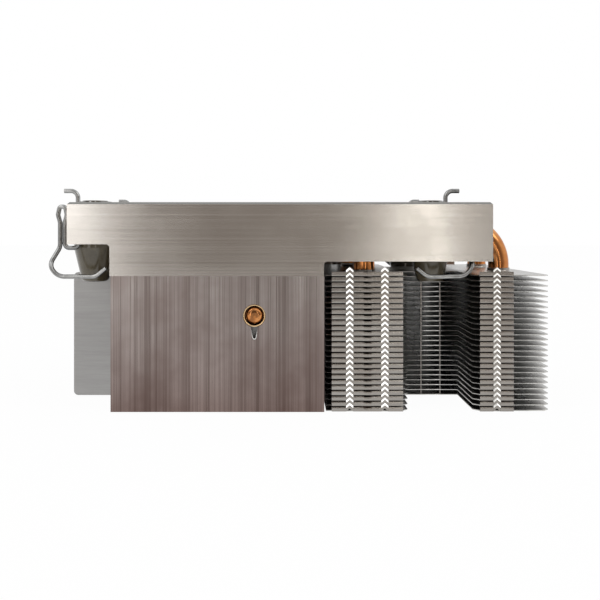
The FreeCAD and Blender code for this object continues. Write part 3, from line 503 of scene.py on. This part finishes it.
def add_strip(bm, columns, side, bright=()):
    """A closed strip along X: a column is an x and its loop of (inwards, up) points.

    The sides of the loop whose numbers are in bright are coined, and take the brighter edge finish with its
    painted highlight.
    """
    rings = []
    for x, loop in columns:
        rings.append([bm.verts.new((x, side * (HALF_WIDTH - inward), up)) for inward, up in loop])
    for first, second in zip(rings, rings[1:]):
        for index, face in enumerate(bridge(bm, first, second)):
            face.material_index = EDGE_HIGHLIGHT_FINISH if index in bright else FOLD_FINISH
    bm.faces.new(rings[0])
    bm.faces.new(rings[-1])


def bend_points(radius, steps):
    """The bend in section, as (inwards, up) points from the flat to the upright."""
    turns = [math.pi / 2 * step / steps for step in range(steps + 1)]
    return [(BEND - radius * math.sin(turn), BEND - radius * math.cos(turn)) for turn in turns]


def fold_loop(top):
    """A folded edge in section: the sheet turns up through a bend and ends a little leaned in."""
    upper = [(0.0, top - FOLD_LEAN_DROP), (FOLD_LEAN, top), (FOLD_LEAN + SHEET * 0.8, top)]
    loop = bend_points(BEND, 4) + upper + bend_points(BEND - SHEET, 2)[::-1]
    return [(inward + FOLD_SETBACK, up) for inward, up in loop]


def lock_loop(rise):
    """The interlock in section: a tongue with a coined ridge that hooks in front of the fin above it."""
    low, high = rise + 0.10 * MM, rise + FIN_PITCH + 0.14 * MM
    back = FOLD_SETBACK
    return [
        (back + 0.04 * MM, low),
        (back, low + 0.06 * MM),
        (back, high - 0.68 * MM),
        (0.02 * MM, high - 0.56 * MM),
        (0.0, high - 0.50 * MM),
        (0.10 * MM, high - 0.30 * MM),
        (back - 0.04 * MM, high),
        (back + 0.02 * MM, high + 0.02 * MM),
        (back + SHEET, high - 0.62 * MM),
        (back + SHEET, low),
    ]


def add_fold(bm, left, right, locks, reliefs, side, top=FOLD_TOP):
    """One folded edge, cut into plain runs with an interlock between each two."""
    outer = RELIEF_HALF + RELIEF_RAMP
    relief_steps = ((-outer, 0.0), (-RELIEF_HALF, RELIEF_DEPTH), (RELIEF_HALF, RELIEF_DEPTH), (outer, 0.0))
    start = left
    for lock in [*locks, None]:
        end = right if lock is None else lock - LOCK_HALF - LOCK_SEAM
        columns = [(start, fold_loop(top))]
        for relief in reliefs:
            if start < relief < end:
                columns += [(relief + x, fold_loop(top - drop)) for x, drop in relief_steps]
        columns.append((end, fold_loop(top)))
        add_strip(bm, columns, side)
        if lock is not None:
            bands = []
            for part in (-1.0, -0.5, 0.0, 0.5, 1.0):
                bands.append((lock + LOCK_HALF * part, lock_loop(LOCK_RISE * (1 - abs(part)))))
            add_strip(bm, bands, side, LOCK_SLOPES)
            start = lock + LOCK_HALF + LOCK_SEAM


def add_tab(bm, x, side):
    """A narrow spacer tab that stands across the notch's back wall."""
    inner = WALL - TAB_DEPTH
    section = ((-TAB_HALF, inner), (TAB_HALF, inner), (TAB_HALF, WALL), (-TAB_HALF, WALL))
    rings = []
    for up in (SHEET / 2, FIN_PITCH - TAB_GAP):
        rings.append([bm.verts.new((x + across, side * y, up)) for across, y in section])
        bm.faces.new(rings[-1])
    bridge(bm, *rings)


def add_collar(bm, x, y):
    """The drawn collar round a pipe: flared from the sheet, then straight up the pipe."""
    profile = [
        (PIPE_HOLE + 0.55 * MM, SHEET * 0.9),
        (PIPE_HOLE + 0.28 * MM, SHEET + 0.14 * MM),
        (PIPE_HOLE + 0.20 * MM, SHEET + 0.40 * MM),
        (PIPE_HOLE + 0.20 * MM, FIN_PITCH - 0.16 * MM),
        (PIPE_HOLE + 0.02 * MM, FIN_PITCH - 0.10 * MM),
        (PIPE_HOLE + 0.02 * MM, SHEET * 0.9),
    ]
    rings = []
    for radius, up in profile:
        rings.append([bm.verts.new((*place, up)) for place in circle(x, y, radius, HOLE_STEPS)])
    for first, second in zip(rings, rings[1:] + rings[:1]):
        bridge(bm, first, second)


def fin_mesh(rear_top=FOLD_TOP):
    """One horizontal fin with its folds, interlocks, tabs and collars, its underside at z = 0."""
    flat = sheet_mesh()
    bm = bmesh.new()
    bm.from_mesh(flat)
    bpy.data.meshes.remove(flat)
    bm.normal_update()
    # faces that are not flat, the sheared rims, take the brighter edge finish: a painted highlight
    for face in bm.faces:
        face.material_index = FLAT_FINISH if abs(face.normal.z) > FLAT_LEAN else EDGE_HIGHLIGHT_FINISH
    for side, top in ((-1, FOLD_TOP), (1, rear_top)):
        add_fold(bm, STACK_LEFT + INSET, NOTCH_LEFT - INSET, NEAR_LOCKS, (NEAR_RELIEF,), side, top)
        add_fold(bm, NOTCH_RIGHT + INSET, FAR_FOLD_RIGHT, FAR_LOCKS, (), side)
        for x in WALL_TABS:
            add_tab(bm, x, side)
    for x, y in pipe_axes():
        add_collar(bm, x, y)
    bmesh.ops.recalc_face_normals(bm, faces=bm.faces)
    mesh = bpy.data.meshes.new("fin_with_folds")
    bm.to_mesh(mesh)
    bm.free()
    return mesh


def make_fins(materials):
    """A detailed fin over each plain one."""
    usual = fin_mesh()
    closing = fin_mesh(CLOSING_TOP)
    for name in FIN_NAMES:
        mesh = closing if name == FIN_NAMES[-1] else usual
        piece = bpy.data.objects.new(name.replace("horizontal_fin", "folded_fin"), mesh.copy())
        for finish in FIN_FINISHES:
            piece.data.materials.append(materials[finish])
        piece.data.transform(Matrix.Translation((0.0, 0.0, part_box(name)[0].z)))
        bpy.context.collection.objects.link(piece)
        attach(piece, "heatsink")
        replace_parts(piece, name)


# ---------------------------------------------------------------- keyhole


SOLDER_REACH = 2.84 * MM  # from the pipe's axis to the middle of the bead
SOLDER_RADIUS = 0.22 * MM
SOLDER_SETBACK = 0.42 * MM
SOLDER_STEPS = 48
SLOT_BEAD = 0.13 * MM
SLOT_HALF_TOP = 1.2 * MM
SLOT_HALF_FOOT = 0.6 * MM
SLOT_DROP = 5.8 * MM  # from the pipe's axis to where the slot's sides end in a half circle
SLOT_STEPS = 8


def add_tube(name, points, radius, cyclic, material, slot, body="heatsink"):
    """A round bead or wire along a line of points, as a mesh."""
    curve = bpy.data.curves.new(name + "_line", "CURVE")
    curve.dimensions = "3D"
    curve.bevel_depth = radius
    curve.bevel_resolution = 3
    curve.use_fill_caps = True
    add_line(curve, points, cyclic)
    mesh = mesh_of(curve)
    mesh.materials.append(material)
    mesh.polygons.foreach_set("use_smooth", [True] * len(mesh.polygons))
    piece = bpy.data.objects.new(name, mesh)
    bpy.context.collection.objects.link(piece)
    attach(piece, body)
    return piece


def make_keyhole(materials):
    """The solder bead round the pipe's sealed end, bright golden as a painted highlight of the hole's rim,
    and a near-white bead along the slot's edge below it, a painted highlight.
    """
    low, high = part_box("side_heat_pipe")
    axis_x = (low.x + high.x) / 2
    axis_z = low.z + PIPE_RADIUS
    face_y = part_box("front_side_plate")[0].y
    circled = circle(axis_x, axis_z, SOLDER_REACH, SOLDER_STEPS)
    ring = [(x, face_y + SOLDER_SETBACK, z) for x, z in circled]
    # the solder bead's bright gold is also a painted highlight of the hole's rim
    add_tube("pipe_end_solder_bead", ring, SOLDER_RADIUS, True, materials["solder"], "copper")

    top, foot = SLOT_HALF_TOP - SLOT_BEAD, SLOT_HALF_FOOT - SLOT_BEAD
    line = [(-top, -PIPE_RADIUS), (-foot, -SLOT_DROP)]
    for step in range(1, SLOT_STEPS):
        turn = math.pi * (1 + step / SLOT_STEPS)
        line.append((foot * math.cos(turn), -SLOT_DROP + foot * math.sin(turn)))
    line += [(foot, -SLOT_DROP), (top, -PIPE_RADIUS)]
    slot = [(axis_x + x, face_y + SLOT_BEAD, axis_z + z) for x, z in line]
    # a painted highlight: a near-white bead along the slot's rim
    add_tube("keyhole_slot_edge", slot, SLOT_BEAD, False, materials["burnished"], "fin_aluminium")


# ---------------------------------------------------------------- spring wires


WIRE_RADIUS = 0.63 * MM
ARC_STEPS = 10
# In mm: outwards and towards the long edge from the pivot, up from the block's top, and the bend's radius.
# The wire runs from its hook above the block down the upright leg, out under the block's end, up beside it
# and over the hairpin, down again, and back past the nut's foot as the bar.
WIRE_ROUTE = [
    (3.7, 0.0, 3.2, 0.0),
    (0.0, 0.0, 3.2, 1.9),
    (0.0, 0.0, -12.35, 1.0),
    (3.55, 0.0, -12.35, 1.2),
    (3.55, 0.0, -5.4, 1.2),
    (3.05, 0.0, -3.3, 1.2),
    (3.45, 0.0, -1.1, 0.72),
    (5.0, 0.0, -1.1, 0.72),
    (5.45, 0.0, -3.3, 1.2),
    (4.87, 0.0, -5.4, 1.2),
    (4.87, 0.0, -12.1, 3.2),
    (7.35, 1.9, -17.1, 2.9),
    (4.7, 2.6, -20.05, 4.0),
    (-5.5, 2.6, -20.05, 3.4),
    (-8.2, 2.6, -17.8, 0.0),
]


def rounded_line(route):
    """The route's points with an arc at each bend."""
    line = [route[0][0]]
    for (before, _), (corner, radius), (after, _) in zip(route, route[1:], route[2:]):
        back, ahead = (before - corner).normalized(), (after - corner).normalized()
        opening = back.angle(ahead)
        reach = radius / math.tan(opening / 2)
        first, last = corner + back * reach, corner + ahead * reach
        centre = corner + (back + ahead).normalized() * (radius / math.sin(opening / 2))
        for step in range(ARC_STEPS + 1):
            arm = (first - centre).slerp(last - centre, step / ARC_STEPS)
            line.append(centre + arm.normalized() * radius)
    line.append(route[-1][0])
    return line


def make_wires(material):
    """A smooth spring wire over each plain one, mirrored into its corner."""
    for joint in frame["joints"]:
        if not joint["name"].endswith("_swing"):
            continue
        name = joint["name"].replace("_swing", "")
        pivot = Vector(joint["pos_m"])
        side_x, side_y = math.copysign(1.0, pivot.x), math.copysign(1.0, pivot.y)
        route = []
        for out, side, up, radius in WIRE_ROUTE:
            place = (pivot.x + side_x * out * MM, pivot.y + side_y * side * MM, block_high.z + up * MM)
            route.append((Vector(place), radius * MM))
        tube = (name + "_spring", rounded_line(route), WIRE_RADIUS, False, material, "spring_steel")
        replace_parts(add_tube(*tube, body=joint["child"]), name)


# ---------------------------------------------------------------- studio


ROOM_DIM = (0.26, 0.225, 0.20)  # what metal mirrors on the camera's side
ROOM_SPAN = (0.04, 0.36)  # where it turns white, with 0 on the camera's side and 1 behind the object
CEILING_SPAN = (0.30, 0.52)  # the height of a direction at which it turns white overhead
ROOM_SOFT = 0.75  # the strength of the white room on matt surfaces

FLOOR_HALF = 3.0
FLOOR_FRONT = 0.32
FLOOR_PAINT = (0.95, 0.95, 0.95)
FLOOR_GLOW = 0.965  # how much of the floor that is seen is plain white, without the object's shadow

# name, place, the point it faces, width, height, watts and colour
LAMPS = [
    ("key_left", (-0.40, -1.0, 0.0), (-0.05, FRONT_Y, -0.02), 0.22, 0.60, 0.82, WHITE),
    ("strip_right", (0.200, -1.0, 0.0), (0.045, FRONT_Y, -0.01), 0.050, 0.5, 0.27, (1.0, 0.98, 0.93)),
    ("fill_right", (0.34, -1.0, 0.0), (0.055, FRONT_Y, -0.01), 0.12, 0.5, 0.03, WHITE),
    ("top_left", (-0.42, -0.42, 0.48), (0.0, -0.02, -0.03), 0.35, 0.5, 0.9, WHITE),
    ("top_right", (0.52, -0.36, 0.47), (0.0, -0.02, -0.03), 0.35, 0.5, 0.9, WHITE),
]

CAMERA_X, CAMERA_Y = 8.28 * MM, -250.0 * MM
CAMERA_DROP = 8.5 * MM  # below the block's top
CAMERA_LENS = 47.4
CAMERA_SHIFT = (0.0133, -0.1103)


def add_area(name, location, target, width, height, power, colour):
    """A soft rectangular lamp that faces a point."""
    data = bpy.data.lights.new(name, "AREA")
    data.shape = "RECTANGLE"
    data.size = width
    data.size_y = height
    data.energy = power
    data.color = colour
    lamp = bpy.data.objects.new(name, data)
    lamp.location = location
    lamp.rotation_mode = "QUATERNION"
    lamp.rotation_quaternion = (Vector(target) - Vector(location)).to_track_quat("-Z", "Y")
    bpy.context.collection.objects.link(lamp)


def make_world():
    """White behind the object, softer light for its matt surfaces, and a dimmer room on the camera's side."""
    world = bpy.data.worlds.new("studio_world")
    bpy.context.scene.world = world
    graph = Graph(world)
    direction = graph.add("ShaderNodeTexCoord").outputs["Generated"]
    depth = graph.remap(graph.part(direction, "Y"), -1.0, 1.0, 0.0, 1.0)
    room = graph.ramp(depth, list(zip(ROOM_SPAN, (ROOM_DIM, WHITE))), "EASE")
    overhead = graph.remap(graph.part(direction, "Z"), *CEILING_SPAN, 0.0, 1.0)
    room = graph.mix(overhead, room, WHITE)
    mirrored = graph.plain_shader("ShaderNodeBackground", Color=room, Strength=1.0)
    soft = graph.plain_shader("ShaderNodeBackground", Color=WHITE, Strength=ROOM_SOFT)
    white = graph.plain_shader("ShaderNodeBackground", Color=WHITE, Strength=1.0)
    light = graph.mix_shaders(graph.rays("Is Glossy Ray", "Is Transmission Ray"), soft, mirrored)
    result = graph.mix_shaders(graph.rays("Is Camera Ray"), light, white)
    graph.link(result, graph.add("ShaderNodeOutputWorld").inputs["Surface"])


def make_floor():
    """A pale floor under the fins that reads as white and keeps a faint shadow."""
    material = bpy.data.materials.new("pale_floor")
    graph = Graph(material)
    paint = graph.plain_shader("ShaderNodeBsdfDiffuse", Color=FLOOR_PAINT)
    glow = graph.plain_shader("ShaderNodeEmission", Color=WHITE, Strength=1.0)
    seen = graph.rays("Is Camera Ray", "Is Glossy Ray", "Is Transmission Ray")
    result = graph.mix_shaders(graph.maths("MULTIPLY", seen, FLOOR_GLOW), paint, glow)
    graph.link(result, graph.add("ShaderNodeOutputMaterial").inputs["Surface"])

    mesh = bpy.data.meshes.new("floor")
    left, right, front, back = -FLOOR_HALF, FLOOR_HALF, -FLOOR_FRONT, FLOOR_HALF
    outline = ((left, front), (right, front), (right, back), (left, back))
    mesh.from_pydata([(x, y, cad_low.z) for x, y in outline], [], [(0, 1, 2, 3)])
    mesh.materials.append(material)
    floor = bpy.data.objects.new("floor", mesh)
    bpy.context.collection.objects.link(floor)


def make_camera():
    """Square to the long side and level, a little nearer the contact side than the fins."""
    data = bpy.data.cameras.new("camera")
    data.sensor_width = 36.0
    data.lens = CAMERA_LENS
    data.shift_x, data.shift_y = CAMERA_SHIFT
    data.clip_start = 0.01
    camera = bpy.data.objects.new("camera", data)
    camera.location = (CAMERA_X, CAMERA_Y, block_high.z - CAMERA_DROP)
    camera.rotation_euler = (math.pi / 2, 0.0, 0.0)
    bpy.context.collection.objects.link(camera)
    bpy.context.scene.camera = camera


make_world()
make_floor()
make_camera()
for lamp in LAMPS:
    add_area(*lamp)
materials = make_materials()
dress_nodes(materials)
make_fins(materials)
make_keyhole(materials)
make_wires(materials["wire"])
bpy.context.scene.view_settings.view_transform = "Standard"
